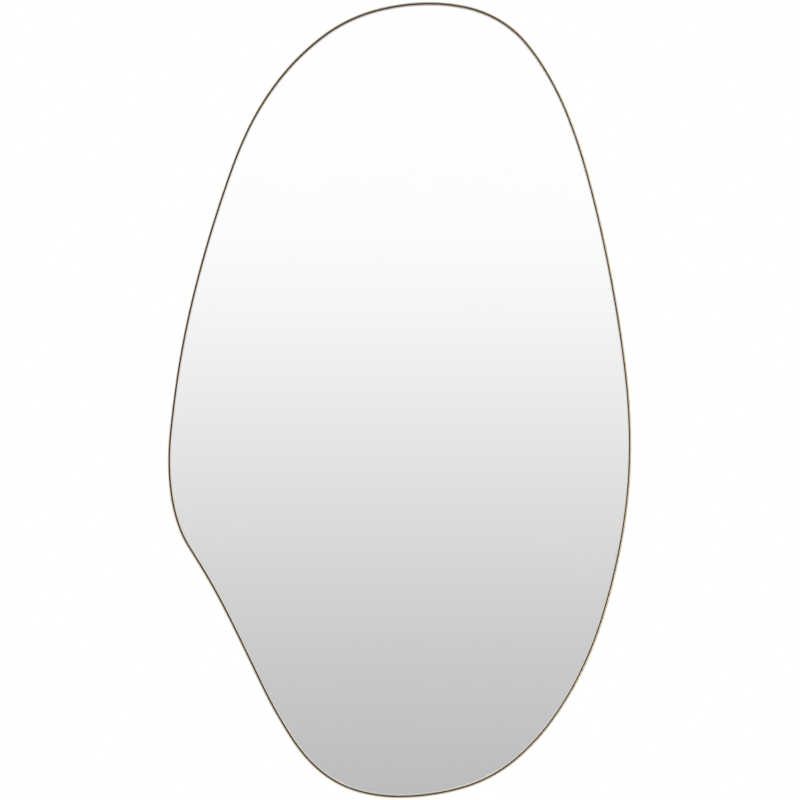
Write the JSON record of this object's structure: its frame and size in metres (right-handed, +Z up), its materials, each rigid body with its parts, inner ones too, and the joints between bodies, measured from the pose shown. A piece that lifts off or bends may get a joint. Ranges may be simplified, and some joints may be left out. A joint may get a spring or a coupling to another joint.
{
  "type": "wall mirror",
  "caption": "Tall freeform wall mirror in a thin brass rim: silvered glass bonded to a backing board, with swinging D-ring hangers, to hang upright or sideways.",
  "frame": {"origin": "on the wall plane, midway between the two wall hooks that carry the upper rings, on the plumb line through the outline's centroid", "axes": "+Y into the wall (the pane faces -Y), +Z up, +X to the right of someone who looks into the mirror"},
  "size_m": [0.4485, 0.022, 0.77],
  "materials": {
    "rim_brass": "antique brass plate, brushed",
    "gasket_foam": "closed-cell foam, matt",
    "pane_glass": "float glass, ground arrises",
    "silver": "silvered",
    "film": "safety film",
    "tape": "double-sided foam tape",
    "board_paint": "fibre board, charcoal paint",
    "hanger_steel": "zinc plate",
    "screw_steel": "zinc plate",
    "bumper_rubber": "moulded rubber"
  },
  "bodies": {
    "mirror_body": {"rim_band": "rim_brass", "edge_gasket": "gasket_foam", "mirror_pane": "pane_glass", "silver_coat": "silver", "safety_film": "film", "backing_board": "board_paint", "tab_screws": "screw_steel", "hanger_screws": "screw_steel", "bumper_screws": "screw_steel", "tape_strip_1": "tape", "tape_strip_2": "tape", "tape_strip_3": "tape", "tape_strip_4": "tape", "tape_strip_5": "tape", "rim_tab_1": "rim_brass", "rim_tab_2": "rim_brass", "rim_tab_3": "rim_brass", "rim_tab_4": "rim_brass", "rim_tab_5": "rim_brass", "rim_tab_6": "rim_brass", "rim_tab_7": "rim_brass", "rim_tab_8": "rim_brass", "bumper_upper_left": "bumper_rubber", "bumper_lower_left": "bumper_rubber", "bumper_lower_right": "bumper_rubber", "bumper_upper_right": "bumper_rubber", "hanger_strap_upper_left": "hanger_steel", "hanger_strap_upper_right": "hanger_steel", "hanger_strap_side_upper": "hanger_steel", "hanger_strap_side_lower": "hanger_steel"},
    "ring_upper_left": {"hanger_ring_upper_left": "hanger_steel"},
    "ring_upper_right": {"hanger_ring_upper_right": "hanger_steel"},
    "ring_side_upper": {"hanger_ring_side_upper": "hanger_steel"},
    "ring_side_lower": {"hanger_ring_side_lower": "hanger_steel"}
  },
  "joints": [
    {"name": "ring_swing_upper_left", "type": "hinge", "parent": "mirror_body", "child": "ring_upper_left", "pos_m": [-0.12, -0.00395, -0.014], "axis": [1, 0, 0], "range_deg": [0, 178]},
    {"name": "ring_swing_upper_right", "type": "hinge", "parent": "mirror_body", "child": "ring_upper_right", "pos_m": [0.12, -0.00395, -0.014], "axis": [1, 0, 0], "range_deg": [0, 178]},
    {"name": "ring_swing_side_upper", "type": "hinge", "parent": "mirror_body", "child": "ring_side_upper", "pos_m": [0.09243, -0.00395, -0.07713], "axis": [0, 0, -1], "range_deg": [0, 178]},
    {"name": "ring_swing_side_lower", "type": "hinge", "parent": "mirror_body", "child": "ring_side_lower", "pos_m": [0.09243, -0.00395, -0.39713], "axis": [0, 0, -1], "range_deg": [0, 178]}
  ]
}
